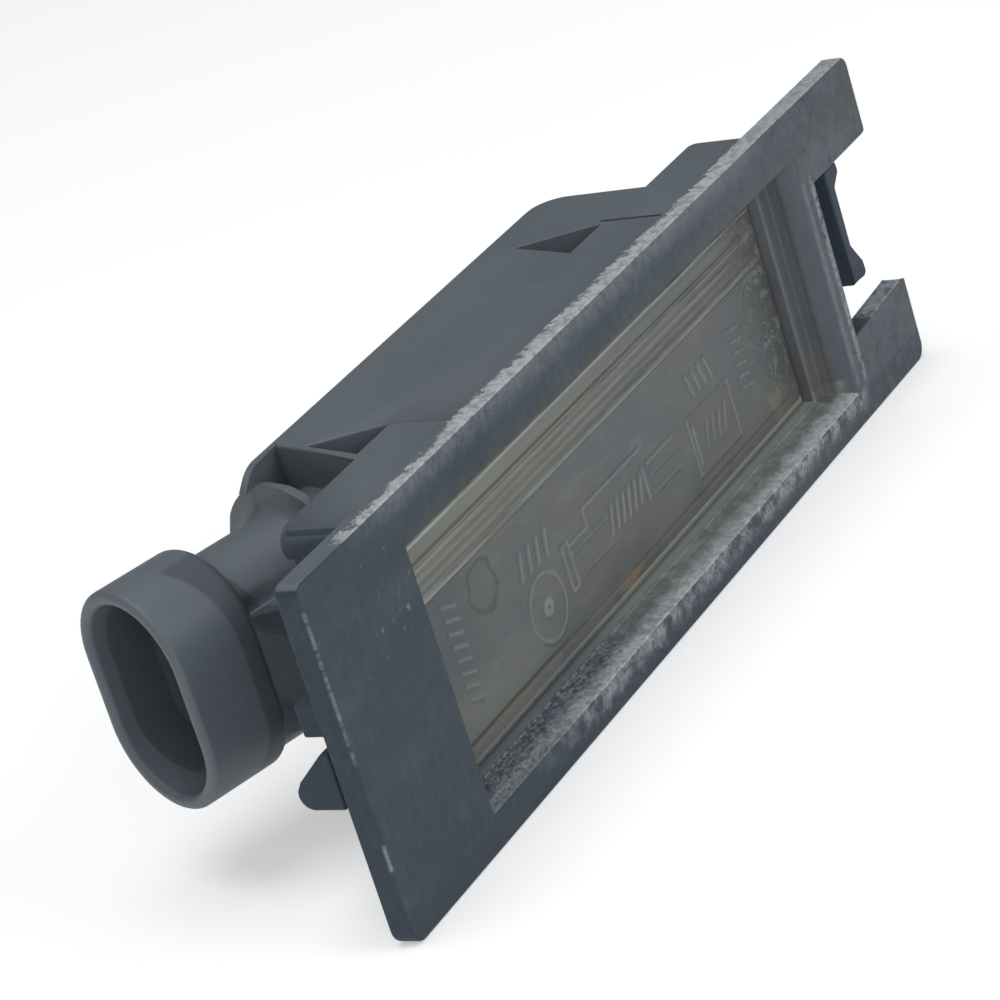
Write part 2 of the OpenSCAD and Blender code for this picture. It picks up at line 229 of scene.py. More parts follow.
class Studio(bpy.types.PropertyGroup):
    """Light and floor."""

    key: bpy.props.FloatProperty(
        name="Key light",
        description="Power of the large light above",
        unit="POWER",
        min=0,
        max=20,
        default=1.5,
    )
    front: bpy.props.FloatProperty(
        name="Front light",
        description="Power of the light before the lens",
        unit="POWER",
        min=0,
        max=20,
        default=0.9,
    )
    left: bpy.props.FloatProperty(
        name="Left lights",
        description="Power of the two lights at the socket's side",
        unit="POWER",
        min=0,
        max=20,
        default=0.54,
    )
    world: bpy.props.FloatProperty(
        name="Room light",
        description="Strength of the even light from all round",
        min=0,
        max=5,
        default=0.2,
    )
    floor: bpy.props.FloatVectorProperty(
        name="Floor",
        description="Colour of the floor",
        subtype="COLOR",
        size=3,
        min=0,
        max=1,
        default=(0.92, 0.92, 0.92),
    )


# ---- node materials


class Shade:
    """A material and short calls that add nodes to it."""

    def __init__(self, name):
        self.material = bpy.data.materials.new(name)
        self.material.use_nodes = True
        self.tree = self.material.node_tree
        self.tree.nodes.clear()
        out = self.tree.nodes.new("ShaderNodeOutputMaterial")
        self.body = self.tree.nodes.new("ShaderNodeBsdfPrincipled")
        self.link(self.body.outputs[0], out.inputs["Surface"])
        coordinates = self.tree.nodes.new("ShaderNodeTexCoord")
        self.place = self.vector("MULTIPLY", coordinates.outputs["Object"], (1 / MM,) * 3)
        self.x, self.y, self.z = self.split(self.place)

    def link(self, source, target):
        """Joins two sockets."""
        self.tree.links.new(source, target)

    def put(self, socket, value):
        """Links a socket or sets a plain value."""
        if isinstance(value, bpy.types.NodeSocket):
            self.link(value, socket)
        elif value is not None:
            socket.default_value = value

    def add(self, kind, **settings):
        """A new node with its settings."""
        node = self.tree.nodes.new(kind)
        for key, value in settings.items():
            setattr(node, key, value)
        return node

    def math(self, operation, a, b=None, clamp=False):
        """One Math node."""
        node = self.add("ShaderNodeMath", operation=operation, use_clamp=clamp)
        for socket, value in zip(node.inputs, (a, b)):
            self.put(socket, value)
        return node.outputs[0]

    def vector(self, operation, a, b):
        """One Vector Math node."""
        node = self.add("ShaderNodeVectorMath", operation=operation)
        for socket, value in zip(node.inputs, (a, b)):
            self.put(socket, value)
        return node.outputs[0]

    def split(self, a):
        """X, Y and Z of a vector."""
        node = self.add("ShaderNodeSeparateXYZ")
        self.put(node.inputs[0], a)
        return node.outputs

    def step(self, value, low, high):
        """0 below low, 1 above high and smooth between; low above high turns it round."""
        node = self.add("ShaderNodeMapRange", interpolation_type="SMOOTHSTEP")
        self.put(node.inputs["Value"], value)
        turned = isinstance(low, (int, float)) and isinstance(high, (int, float)) and low > high
        self.put(node.inputs["From Min"], high if turned else low)
        self.put(node.inputs["From Max"], low if turned else high)
        node.inputs["To Min"].default_value = 1.0 if turned else 0.0
        node.inputs["To Max"].default_value = 0.0 if turned else 1.0
        return node.outputs[0]

    def band(self, value, low, high, soft=0.1):
        """1 between low and high, fading over soft outside them."""
        return self.math("MULTIPLY", self.step(value, low - soft, low), self.step(value, high + soft, high))

    def noise(self, scale, detail=3.0, rough=0.55, stretch=(1, 1, 1), turn=(0, 0, 0), shift=(0, 0, 0),
              distortion=0.0):
        """Noise on object coordinates in millimetres; scale is in waves per millimetre."""
        mapping = self.add("ShaderNodeMapping")
        self.link(self.place, mapping.inputs["Vector"])
        mapping.inputs["Scale"].default_value = stretch
        mapping.inputs["Rotation"].default_value = turn
        mapping.inputs["Location"].default_value = shift
        node = self.add("ShaderNodeTexNoise")
        self.link(mapping.outputs[0], node.inputs["Vector"])
        node.inputs["Scale"].default_value = scale
        node.inputs["Detail"].default_value = detail
        node.inputs["Roughness"].default_value = rough
        node.inputs["Distortion"].default_value = distortion
        return node.outputs[0]

    def mix(self, factor, a, b):
        """Colour a with b laid over it by factor."""
        node = self.add("ShaderNodeMix", data_type="RGBA")
        self.put(node.inputs[0], factor)
        for socket, value in ((node.inputs[6], a), (node.inputs[7], b)):
            self.put(socket, (*value, 1.0) if isinstance(value, tuple) else value)
        return node.outputs[2]

    def lay(self, under, over, *factors):
        """Colour under with over laid on it by the product of the factors."""
        return self.mix(self.product(*factors), under, over)

    def dress(self, **values):
        """Sets inputs of the surface; an underscore in a name stands for its blank."""
        for key, value in values.items():
            self.put(self.body.inputs[key.replace("_", " ")], value)

    def facing(self):
        """The surface's own direction as X, Y and Z."""
        return self.split(self.add("ShaderNodeNewGeometry").outputs["Normal"])

    def bump(self, height, distance, strength):
        """Bump of a height in millimetres times distance."""
        node = self.add("ShaderNodeBump")
        node.inputs["Strength"].default_value = strength
        node.inputs["Distance"].default_value = distance
        self.link(height, node.inputs["Height"])
        self.link(node.outputs[0], self.body.inputs["Normal"])

    def chain(self, operation, values, clamp=False):
        """One operation after the other over all values."""
        out = values[0]
        for value in values[1:]:
            out = self.math(operation, out, value, clamp=clamp)
        return out

    def plus(self, *values):
        """Sum of values."""
        return self.chain("ADD", values)

    def total(self, *values):
        """Sum of values, kept from 0 to 1."""
        return self.chain("ADD", values, clamp=True)

    def product(self, *values):
        """Product of values."""
        return self.chain("MULTIPLY", values)

    def minus(self, a, b):
        """a less b."""
        return self.math("SUBTRACT", a, b)

    def rest(self, a):
        """1 less a."""
        return self.minus(1.0, a)

    def squares(self, a, b):
        """a times a plus b times b."""
        return self.plus(self.math("POWER", a, 2.0), self.math("POWER", b, 2.0))


def housing_material(finish):
    """Blue-grey plastic, dirty and speckled on the flange's front, rubbed pale along its edges, with painted
    shade on its dark sides, corners and latch.
    """
    s = Shade("housing_plastic")
    x, y, z = s.x, s.y, s.z
    nx, ny, nz = s.facing()
    up = s.step(nz, 0.5, 0.75)
    front = s.step(ny, -0.55, -0.8)
    left, right = (v / MM for v in FLANGE_X)
    low, high = (v / MM for v in FLANGE_Z)
    face = FACE_Y / MM
    from_face = s.minus(y, face)
    on_flange = s.step(y, 0.2, -0.1)
    spread = 0.5 + finish.wear

    cloud = s.noise(0.09, 4.0)
    mottle = s.noise(0.7, 6.0, 0.68)
    fine = s.noise(2.6, 5.0, 0.75)
    jag = s.noise(0.8, 8.0, 0.8)
    blob = s.noise(1.15, 4.0, 0.62, shift=(1, 6, 2))
    brushed = s.noise(1.2, 4.0, 0.6, stretch=(1, 1, 0.4), turn=(0, 0.35, 0))
    smear = s.noise(0.2, 5.0, 0.62, stretch=(0.6, 1, 1.4))

    base = s.mix(s.step(cloud, 0.35, 0.65), tuple(finish.plastic), tuple(c * 1.1 for c in finish.plastic))
    pale = s.noise(0.5, 5.0, 0.7, shift=(7, 3, 1))
    base = s.lay(base, (0.19, 0.215, 0.23), s.step(pale, 0.55, 0.75), 0.3)

    # dirt on the flange's front, and painted shade on the flange's ends, on the hook and in the corner
    # behind the flange; on the front the dirt thins out towards the right, which also paints the front
    # darker at the left
    face_on = s.product(front, on_flange)
    ends = s.total(s.step(x, left + 5.5, left + 3.5), s.step(x, right - 6.0, right - 4.0))
    # painted shade on the flange's end faces
    end_faces_shade = s.product(ends, s.rest(up), s.step(y, 3.6, 2.6))
    latch = s.product(s.step(x, 34.0, 34.5), s.band(z, -6.2, 6.2), s.step(y, 0.2, 0.6), s.step(y, 6.4, 6.0))
    # painted shade on the hook
    hook = s.product(s.step(x, left + 6.7, left + 6.0), s.band(y, 0.2, 6.5))
    # painted shade on the left-facing faces in the corner behind the flange
    corner = s.product(s.step(nx, -0.6, -0.85), s.band(x, -33.5, -31.4, 0.3), s.step(y, 0.1, 0.4), 0.8)
    grime_and_shade_mask = s.total(face_on, end_faces_shade, hook, corner)
    # the dirt on the front thins out to the right; this also paints the front's left part darker as shade
    thin = s.product(s.step(x, -24.0, 36.0), 0.68)
    thin = s.total(thin, s.product(s.minus(smear, 0.5), 1.3))
    border = s.total(s.step(z, low + 2.6, low + 2.3), s.product(s.step(z, high - 4.2, high - 3.6), 0.6))
    thin = s.product(thin, face_on, s.rest(s.product(border, 0.5)))
    # dark colour for the dirt and for the painted shade
    dirt = s.mix(thin, tuple(finish.grime_and_shade), tuple(finish.plastic))
    dirt = s.lay(dirt, (0.08, 0.11, 0.14), s.step(mottle, 0.5, 0.72), 0.25)
    dirt = s.lay(dirt, (0.17, 0.195, 0.21), s.step(brushed, 0.5, 0.7), s.step(x, -30.0, 0.0), 0.16)
    dirt = s.lay(dirt, (0.06, 0.085, 0.11), s.step(brushed, 0.5, 0.66), s.step(x, -24.0, -34.0), 0.3)
    for tone, low_noise, high_noise, most in (((0.17, 0.195, 0.195), 0.48, 0.66, 0.32),
                                              ((0.05, 0.065, 0.075), 0.46, 0.34, 0.35)):
        dirt = s.lay(dirt, tone, s.step(mottle, low_noise, high_noise), s.step(x, 29.0, 34.0), face_on, most)
    dirt = s.lay(dirt, (0.16, 0.2, 0.23), s.step(fine, 0.62, 0.74), 0.25)
    dirt = s.lay(dirt, (0.028, 0.036, 0.048), s.step(blob, 0.46, 0.36), 0.4)
    base = s.mix(grime_and_shade_mask, base, dirt)
    # painted shade: the latch deep in the notch is dark blue
    base = s.lay(base, (0.052, 0.072, 0.105), latch, 0.9)
    # painted shade in the deep corner between the body's end wall and the socket's neck
    nook_shade = s.product(s.band(x, -33.6, -30.8, 0.3), s.step(ny, -0.15, -0.3), s.step(y, 8.0, 9.0), 0.6)
    base = s.mix(nook_shade, base, (0.05, 0.06, 0.075))

    # flecks and short scratches, thickest at the front's upper left
    flecks = s.noise(1.8, 4.0, 0.55, stretch=(1, 1, 0.6))
    near = s.math("SQRT", s.squares(s.plus(x, 35.0), s.minus(z, 7.0)))
    low_bar = s.plus(s.product(s.step(near, 1.0, 6.0), 0.1), 0.61)
    fleck = s.product(face_on, s.step(s.minus(flecks, low_bar), -0.02, 0.1), 0.26)

    # rubbed band on the flange's top face: ragged and narrow at the left, nearly the full width further on
    ragged = s.product(s.minus(jag, 0.5), 4.2)
    reach = s.plus(s.product(s.step(x, -26.0, -17.0), 0.55), 0.78 * spread + 0.05)
    reach = s.plus(reach, s.product(s.step(x, 20.0, 28.0), 0.5))
    over = s.minus(s.minus(from_face, reach), ragged)
    top_band = s.product(s.step(over, 0.18, -0.12), up, s.step(z, high - 0.6, high - 0.3), on_flange,
                         s.step(s.plus(x, ragged), -38.6, -37.0))
    top_band = s.product(top_band, s.minus(0.76, s.product(s.step(x, 20.0, 34.0), 0.14)))
    # soft pale zone on the front just under that edge
    uneven = s.product(s.minus(blob, 0.5), 2.4)
    under = s.plus(s.minus(high, z), s.product(uneven, 0.6))
    along = s.product(s.step(x, -39.0, -30.0), s.step(x, 30.0, 20.0))
    top_edge = s.product(s.step(under, 2.0, 0.0), face_on, along, 0.2)

    # sill below the lens: speckled at the left, dusty at the right, pale dirt packed against the lens that
    # is also painted light lifting the gap's shade, and a bright broken line along the front edge that runs
    # over onto the front
    window_low = low + 2.5
    wall_up = s.product(up, s.band(z, window_low - 0.3, window_low + 0.8), s.step(y, 2.4, 2.0))
    sill = s.product(s.step(from_face, 0.02, 0.2), s.step(y, 2.4, 2.0),
                     s.band(z, window_low - 0.3, window_low + 1.2, 0.3), s.band(x, -31.2, 31.0, 0.3))
    pepper = s.noise(2.2, 4.0, 0.7, stretch=(1, 1.7, 1), shift=(2, 2, 5))
    pepper = s.mix(s.step(pepper, 0.4, 0.62), (0.065, 0.085, 0.103), (0.26, 0.3, 0.335))
    base = s.lay(base, pepper, sill, s.step(x, 4.0, -12.0), 0.9)
    dusty = s.mix(s.step(mottle, 0.4, 0.62), (0.21, 0.232, 0.215), (0.32, 0.345, 0.325))
    base = s.lay(base, dusty, sill, s.step(x, -14.0, 2.0), 0.85)
    # pale dust in the gap against the lens, also painted light that lifts the gap's shade
    packed_dust_and_light = s.mix(s.step(x, -14.0, -2.0), (0.26, 0.305, 0.34), (0.4, 0.425, 0.39))
    base = s.lay(base, packed_dust_and_light, sill, s.step(y, 0.95, 1.1), 0.8)
    depth = s.plus(from_face, uneven)
    core = s.product(wall_up, s.step(depth, 1.9, 0.2), s.plus(s.product(s.step(x, -31.0, -12.0), 0.4), 0.5),
                     s.rest(s.product(s.step(x, -14.0, -24.0), s.step(depth, 0.9, 0.2), 0.7)))
    below = s.plus(s.minus(window_low, z), s.product(uneven, s.rest(s.product(s.step(x, 0.0, 12.0), 0.4))))
    lower = s.product(face_on, s.step(below, 1.9, 0.3), s.step(z, window_low + 0.15, window_low - 0.05),
                      s.step(x, -27.0, -13.0), s.step(x, 33.5, 31.0), s.step(mottle, 0.36, 0.58),
                      s.plus(s.product(s.step(x, 0.0, 14.0), 0.12), 0.54))
    # thin pale lines at the window's right edge and the notch's edge, and the worn tops of the tabs
    lines = s.total(s.product(s.band(x, 31.2, 31.7, 0.4), 0.4),
                    s.product(s.band(x, 32.85, 33.2, 0.25), s.step(blob, 0.36, 0.54)))
    strip = s.product(face_on, lines, s.band(z, -9.6, 6.8, 0.8), 0.4)
    tabs = s.product(up, on_flange, s.step(x, right - 9.0, right - 6.0), s.step(z, 8.0, 6.0),
                     s.step(blob, 0.36, 0.54), 0.5)

    # thin broken bright line down the left edge's upper half and one dash below it
    dashes = s.product(s.band(z, 0.6, 11.0, 0.5),
                       s.step(s.noise(0.9, 4.0, 0.65, stretch=(0, 0, 1)), 0.4, 0.54), 0.7)
    dashes = s.total(dashes, s.band(z, -7.2, -5.6, 0.25))
    side = s.product(s.step(s.minus(x, left), 0.26, 0.1), s.step(from_face, 0.26, 0.1), dashes, 0.36)

    rub = s.total(top_band, top_edge, core, lower, strip, tabs, side, fleck)
    pits = s.step(s.noise(1.7, 5.0, 0.8, shift=(3, 5, 2)), 0.4, 0.54)
    rub = s.product(rub, s.plus(s.product(pits, 0.55), 0.45))
    colour = s.mix(rub, base, tuple(finish.worn))

    # yellow-green dirt under the window's top edge and a dark stain on the lower tab's top
    moss = s.product(face_on, s.band(z, 9.0, 9.9, 0.8), s.step(x, -33.0, -28.0), s.step(mottle, 0.4, 0.6))
    colour = s.lay(colour, (0.1, 0.107, 0.07), moss, 0.35)
    stain = s.product(s.step(s.plus(x, uneven), 37.6, 36.2), s.band(z, -9.0, -5.0), up, on_flange,
                      s.step(x, 33.0, 33.4))
    colour = s.lay(colour, (0.03, 0.034, 0.04), stain, 0.75)
    # beside the lens's right end: a dusty wall, a soft painted shadow band in the ledge's corner, brown at
    # the bottom
    wall = s.product(s.step(nx, -0.6, -0.85), s.band(x, 28.6, 29.3, 0.2), s.band(y, 0.85, 3.0))
    colour = s.lay(colour, (0.165, 0.17, 0.18), wall, 0.9)
    # painted shadow in the ledge's corner
    ledge_shadow = s.product(s.band(x, 29.6, 30.7, 0.5), s.band(y, -0.1, 1.1, 0.4), s.band(z, -10.0, 9.0, 0.6))
    colour = s.lay(colour, (0.045, 0.047, 0.055), ledge_shadow, 0.45)
    colour = s.lay(colour, (0.17, 0.14, 0.12), s.total(ledge_shadow, wall), s.step(z, -4.0, -8.0), 0.5)

    rough = s.total(s.plus(s.product(mottle, 0.2), 0.38), s.product(rub, 0.2), s.product(grime_and_shade_mask, 0.16))
    s.dress(Base_Color=colour, Roughness=rough, IOR=HOUSING_IOR)
    grain = s.plus(s.product(fine, 0.4), s.product(mottle, on_flange), s.product(rub, 0.7))
    s.bump(grain, distance=0.00008, strength=0.9)
    return s.material


def lens_material(finish):
    """Clear plastic gone dull: milky, a little green, with dirt in its edges and a brown stain, and painted
    light and shade on its ribs, its ends and its lower edge.
    """
    s = Shade("lens_plastic")
    x, z = s.x, s.z
    cloud = s.noise(0.12, 4.0, 0.6)
    drift = s.noise(0.3, 6.0, 0.65, stretch=(0.6, 1, 1))
    speck = s.noise(2.2, 5.0, 0.7)
    streak = s.noise(0.7, 5.0, 0.7, stretch=(0.12, 1, 2.4))
    slant = s.noise(1.0, 4.0, 0.65, stretch=(0.3, 1, 1), turn=(0, 0.5, 0), shift=(3, 0, 5))
    green, brown = (0.108, 0.122, 0.106), (0.125, 0.117, 0.116)
    teal, pale = (0.076, 0.095, 0.106), (0.18, 0.192, 0.196)
    base = s.mix(s.step(cloud, 0.4, 0.62), tuple(finish.clear), green)
    base = s.lay(base, brown, s.step(drift, 0.5, 0.68), 0.5)
    base = s.lay(base, teal, s.step(drift, 0.48, 0.34), 0.6)
    base = s.lay(base, pale, s.step(slant, 0.5, 0.7), 0.35)
    base = s.lay(base, teal, s.step(slant, 0.46, 0.3), 0.35)
    base = s.lay(base, pale, s.step(speck, 0.58, 0.74), 0.25)
    base = s.lay(base, (0.066, 0.078, 0.09), s.step(x, -18.0, -25.0), s.step(z, -6.0, -2.0), 0.8)
    # yellow-green band of ribs along the top, brightest at the left, with painted highlights on the ribs'
    # crests and painted shade lines under them
    share = s.total(s.product(s.step(x, 16.0, -14.0), 0.5), s.minus(streak, 0.35))
    base = s.lay(base, (0.25, 0.262, 0.205), s.band(z, 3.3, 7.3, 0.2), share)
    rib_highlight = s.plus(s.product(s.step(x, -14.0, -23.0), 0.4), s.product(s.step(streak, 0.34, 0.6), 0.6))
    # painted highlights along the strip's and the ribs' crests
    for middle, half, most in ((6.98, 0.13, 0.95), (5.25, 0.16, 0.3), (4.5, 0.14, 0.3), (3.08, 0.2, 0.55)):
        base = s.lay(base, (0.55, 0.57, 0.52), s.band(z, middle - half, middle + half, 0.14), rib_highlight, most)
    wavy = s.plus(z, s.product(s.minus(streak, 0.5), 0.35))
    # painted shade: dark lines in the groove and under each rib
    for middle, low_x, high_x, most in ((5.62, 8.0, 2.0, 0.6), (4.82, 4.0, -2.0, 0.3),
                                        (4.18, 8.0, 3.0, 0.4), (3.5, 20.0, 8.0, 0.35)):
        line = s.band(wavy, middle - 0.05, middle + 0.05, 0.12)
        base = s.lay(base, (0.06, 0.065, 0.055), line, s.step(x, low_x, high_x), most)
    # moulded marks stand out paler
    tone = s.add("ShaderNodeAttribute", attribute_name="marks").outputs["Fac"]
    base = s.lay(base, (0.3, 0.315, 0.325), tone, s.plus(s.product(drift, 0.7), 0.25))
    # dirty ring, dirt and painted shade at the right end, dirt along the bottom, a brown stain and painted
    # light at the lower left
    shaken = s.minus(slant, 0.5)
    pip = s.math("SQRT", s.squares(s.plus(x, 20.0), s.minus(z, 0.4)))
    pip = s.plus(pip, s.product(shaken, 1.6))
    base = s.lay(base, (0.09, 0.112, 0.118), s.step(pip, 2.0, 1.7), 0.5)
    base = s.lay(base, (0.035, 0.04, 0.042), s.band(pip, 1.72, 1.86, 0.22), 0.7)
    # darker towards the right end: dirt, and painted shade
    end = s.plus(x, s.product(s.minus(s.noise(0.4, 5.0, 0.7), 0.5), 9.0))
    base = s.lay(base, (0.075, 0.08, 0.078), s.step(end, 20.0, 27.0), 0.35)
    worm = s.math("ABSOLUTE", s.minus(s.noise(0.5, 2.0, 0.5, distortion=1.2, shift=(0, 0, 3)), 0.5))
    at_end = s.product(s.step(end, 22.0, 26.5), s.step(streak, 0.36, 0.56))
    base = s.lay(base, (0.3, 0.31, 0.31), s.step(worm, 0.045, 0.01), at_end, 0.5)
    base = s.lay(base, (0.04, 0.042, 0.042), s.band(worm, 0.05, 0.07, 0.02), at_end, 0.3)
    base = s.lay(base, (0.25, 0.26, 0.18), s.band(end, 24.5, 26.0, 0.8), s.step(z, -6.4, -7.4), 0.6)
    # painted shade at the lens's very right end, next to the gap
    base = s.lay(base, (0.04, 0.04, 0.043), s.step(s.plus(x, shaken), 27.9, 28.4), 0.25)
    away = s.squares(s.product(s.plus(x, 2.2), 0.5), s.product(s.plus(z, 8.2), 0.8))
    away = s.plus(away, s.product(shaken, 3.2))
    base = s.lay(base, (0.07, 0.076, 0.082), s.step(away, 4.0, 1.2), 0.3)
    base = s.lay(base, tuple(finish.stain), s.step(away, 1.2, 0.2), s.step(z, -7.9, -8.6), 0.7)
    # painted light: paler at the lower left
    lit_patch = s.product(s.step(z, -3.0, -7.5), s.step(x, -10.0, -18.0), s.plus(s.product(cloud, 0.6), 0.35))
    base = s.mix(lit_patch, base, (0.19, 0.208, 0.182))
    under = s.product(s.step(z, -7.9, -8.2), s.step(x, 4.0, -6.0))
    base = s.lay(base, (0.22, 0.19, 0.17), under, s.step(drift, 0.36, 0.56), 0.45)
    base = s.lay(base, (0.03, 0.032, 0.026), s.band(wavy, -8.06, -7.94, 0.1), s.step(x, -8.0, -16.0), 0.85)
    low_dust = s.product(s.step(z, -5.5, -8.5), s.step(x, 0.0, 6.0), s.step(drift, 0.3, 0.5), 0.6)
    base = s.mix(low_dust, base, (0.16, 0.165, 0.14))
    # dust packed against the lower edge, also painted light that lifts the shade under that edge, with dark
    # grains at the left
    packed_dust_and_light = s.product(s.step(z, -8.95, -9.15), s.plus(s.product(s.step(x, -14.0, 0.0), 0.35), 0.5))
    base = s.mix(packed_dust_and_light, base, (0.45, 0.47, 0.43))
    grains = s.product(s.step(z, -9.25, -9.5), s.step(x, -4.0, -12.0), s.step(speck, 0.45, 0.6), 0.6)
    base = s.mix(grains, base, (0.05, 0.045, 0.04))
    rough = s.plus(s.product(drift, 0.25), 0.25)
    s.dress(Base_Color=base, Roughness=rough, IOR=LENS_IOR, Transmission_Weight=0.15)
    s.bump(s.plus(s.product(speck, 0.35), drift), distance=0.00005, strength=0.8)
    return s.material


def metal_material(name, colour, rough=0.3, tarnish=(0.25, 0.18, 0.1)):
    """Metal with clouds of tarnish and fine drawn scratches."""
    s = Shade(name)
    cloud = s.noise(0.5, 5.0, 0.65)
    scratch = s.noise(6.0, 3.0, 0.6, stretch=(0.12, 1, 1))
    base = s.lay(tuple(colour), tarnish, s.step(cloud, 0.45, 0.7), 0.4)
    s.dress(Base_Color=base, Roughness=s.plus(s.product(cloud, 0.25), rough - 0.1), Metallic=1.0)
    s.bump(scratch, distance=0.00002, strength=0.6)
    return s.material


def glass_material():
    """Thin clear glass with a faint haze."""
    s = Shade("bulb_glass")
    haze = s.noise(0.4, 4.0)
    rough = s.plus(s.product(haze, 0.1), 0.02)
    base = s.mix(s.step(haze, 0.4, 0.7), (0.97, 0.98, 0.98), (0.9, 0.91, 0.9))
    s.dress(Base_Color=base, Roughness=rough, IOR=GLASS_IOR, Transmission_Weight=0.95)
    return s.material


# ---- making pieces


def finish_piece(obj, material, slot, *nodes):
    """Gives a new piece its material and body and hides the nodes that it stands for; slot is not used."""
    obj.data.materials.clear()
    obj.data.materials.append(material)
    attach(obj, "root")
    if nodes:
        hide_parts(*nodes)


def dress_node(node, material):
    """Puts a material on a CAD solid that stays as it is."""
    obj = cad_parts[node]
    obj.data.materials.clear()
    obj.data.materials.append(material)


def surface(name, points, faces, smooth=True):
    """A mesh object from an array of points and a list of faces."""
    mesh = bpy.data.meshes.new(name)
    mesh.from_pydata(points.tolist(), [], faces)
    mesh.validate()
    obj = bpy.data.objects.new(name, mesh)
    bpy.context.scene.collection.objects.link(obj)
    mesh.polygons.foreach_set("use_smooth", np.full(len(mesh.polygons), smooth))
    return obj


def grid_faces(rows, columns, closed=False):
    """Quads of a grid of points kept row by row; a closed grid joins its last column to its first."""
    i = np.arange(rows - 1)
    j = np.arange(columns if closed else columns - 1)
    i, j = (a.ravel() for a in np.meshgrid(i, j, indexing="ij"))
    k, m = i + 1, (j + 1) % columns
    return np.stack([i * columns + j, i * columns + m, k * columns + m, k * columns + j], 1)


def numbers(items, key, kind, width=1):
    """One value of every item as an array."""
    out = np.zeros(len(items) * width, kind)
    items.foreach_get(key, out)
    return out.reshape(-1, width) if width > 1 else out


def edge_ends(mesh):
    """The two end points of every edge."""
    return numbers(mesh.vertices, "co", np.float64, 3)[numbers(mesh.edges, "vertices", np.int64, 2)]


def edge_room(mesh):
    """Each edge's least face width.

    Of the corners of its faces that lie abreast of the edge, the one nearest to its line counts. An edge
    with no such corner gets 1 metre, which limits nothing.
    """
    points = numbers(mesh.vertices, "co", np.float64, 3)
    ends = numbers(mesh.edges, "vertices", np.int64, 2)
    loop_edge = numbers(mesh.loops, "edge_index", np.int64)
    loop_point = numbers(mesh.loops, "vertex_index", np.int64)
    start = numbers(mesh.polygons, "loop_start", np.int64)
    total = numbers(mesh.polygons, "loop_total", np.int64)
    face = np.repeat(np.arange(len(total)), total)
    size = total[face]
    edge = np.repeat(loop_edge, size)
    first = np.repeat(np.cumsum(size) - size, size)
    corner = loop_point[np.repeat(start[face], size) + np.arange(size.sum()) - first]
    a, b = points[ends[edge, 0]], points[ends[edge, 1]]
    along = b - a
    on_line, past = 1e-6, 1e-4
    t = ((points[corner] - a) * along).sum(1) / np.maximum((along * along).sum(1), TINY)
    gap = np.linalg.norm(points[corner] - a - t[:, None] * along, axis=1)
    gap[(gap < on_line) | (t < -past) | (t > 1 + past)] = 1.0
    room = np.ones(len(ends))
    np.minimum.at(room, edge, gap)
    return room


def edge_turn(mesh):
    """The angle in degrees between the two faces of each edge."""
    normal = numbers(mesh.polygons, "normal", np.float64, 3)
    total = numbers(mesh.polygons, "loop_total", np.int64)
    loop_edge = numbers(mesh.loops, "edge_index", np.int64)
    face = np.repeat(np.arange(len(total)), total)
    order = np.argsort(loop_edge, kind="stable")
    loop_edge, face = loop_edge[order], face[order]
    pair = np.flatnonzero(loop_edge[1:] == loop_edge[:-1])
    turn = np.zeros(len(mesh.edges))
    dot = (normal[face[pair]] * normal[face[pair + 1]]).sum(1)
    turn[loop_edge[pair]] = np.degrees(np.arccos(np.clip(dot, -1, 1)))
    return turn


def rounded_copy(node, name, radius, share):
    """A CAD solid's own faces, joined where they are flat, with its sharp edges rounded to a radius.

    An edge with little room on its faces gets a smaller radius. share gives the part of the radius that
    an edge may have, from the middle points of all edges in millimetres.
    """
    work = bmesh.new()
    work.from_mesh(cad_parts[node].data)
    bmesh.ops.remove_doubles(work, verts=work.verts, dist=WELD)
    # a flat face round an opening stays in two parts, because a face can't have a hole
    for across in ((1, 0, 0), (0, 0, 1)):
        whole = work.verts[:] + work.edges[:] + work.faces[:]
        cut = bmesh.ops.bisect_plane(work, geom=whole, dist=1e-6, plane_co=SEAMS_CROSS, plane_no=across)
        for item in cut["geom_cut"]:
            if isinstance(item, bmesh.types.BMEdge):
                item.seam = True
    bmesh.ops.dissolve_limit(
        work, angle_limit=math.radians(FLAT_TURN), verts=work.verts, edges=work.edges, delimit={"SEAM"})
    mesh = bpy.data.meshes.new(name)
    work.to_mesh(mesh)
    work.free()
    middle = edge_ends(mesh).mean(1) / MM
    weight = np.minimum(share(middle), ROOM_SHARE * edge_room(mesh) / max(radius, 1e-6))
    weight = np.where(edge_turn(mesh) > SHARP_TURN, weight, 0)
    layer = mesh.attributes.new("bevel_weight_edge", "FLOAT", "EDGE")
    layer.data.foreach_set("value", weight.astype(np.float32))
    obj = bpy.data.objects.new(name, mesh)
    bpy.context.scene.collection.objects.link(obj)
    mesh.polygons.foreach_set("use_smooth", np.ones(len(mesh.polygons), bool))
    mesh.set_sharp_from_angle(angle=math.radians(SHARP_TURN))
    bevel = obj.modifiers.new("edges", "BEVEL")
    bevel.width = radius
    bevel.segments = 3
    bevel.limit_method = "WEIGHT"
    bevel.use_clamp_overlap = False
    bevel.harden_normals = True
    bevel.miter_outer = "MITER_SHARP"
    settle(obj, node)
    return obj


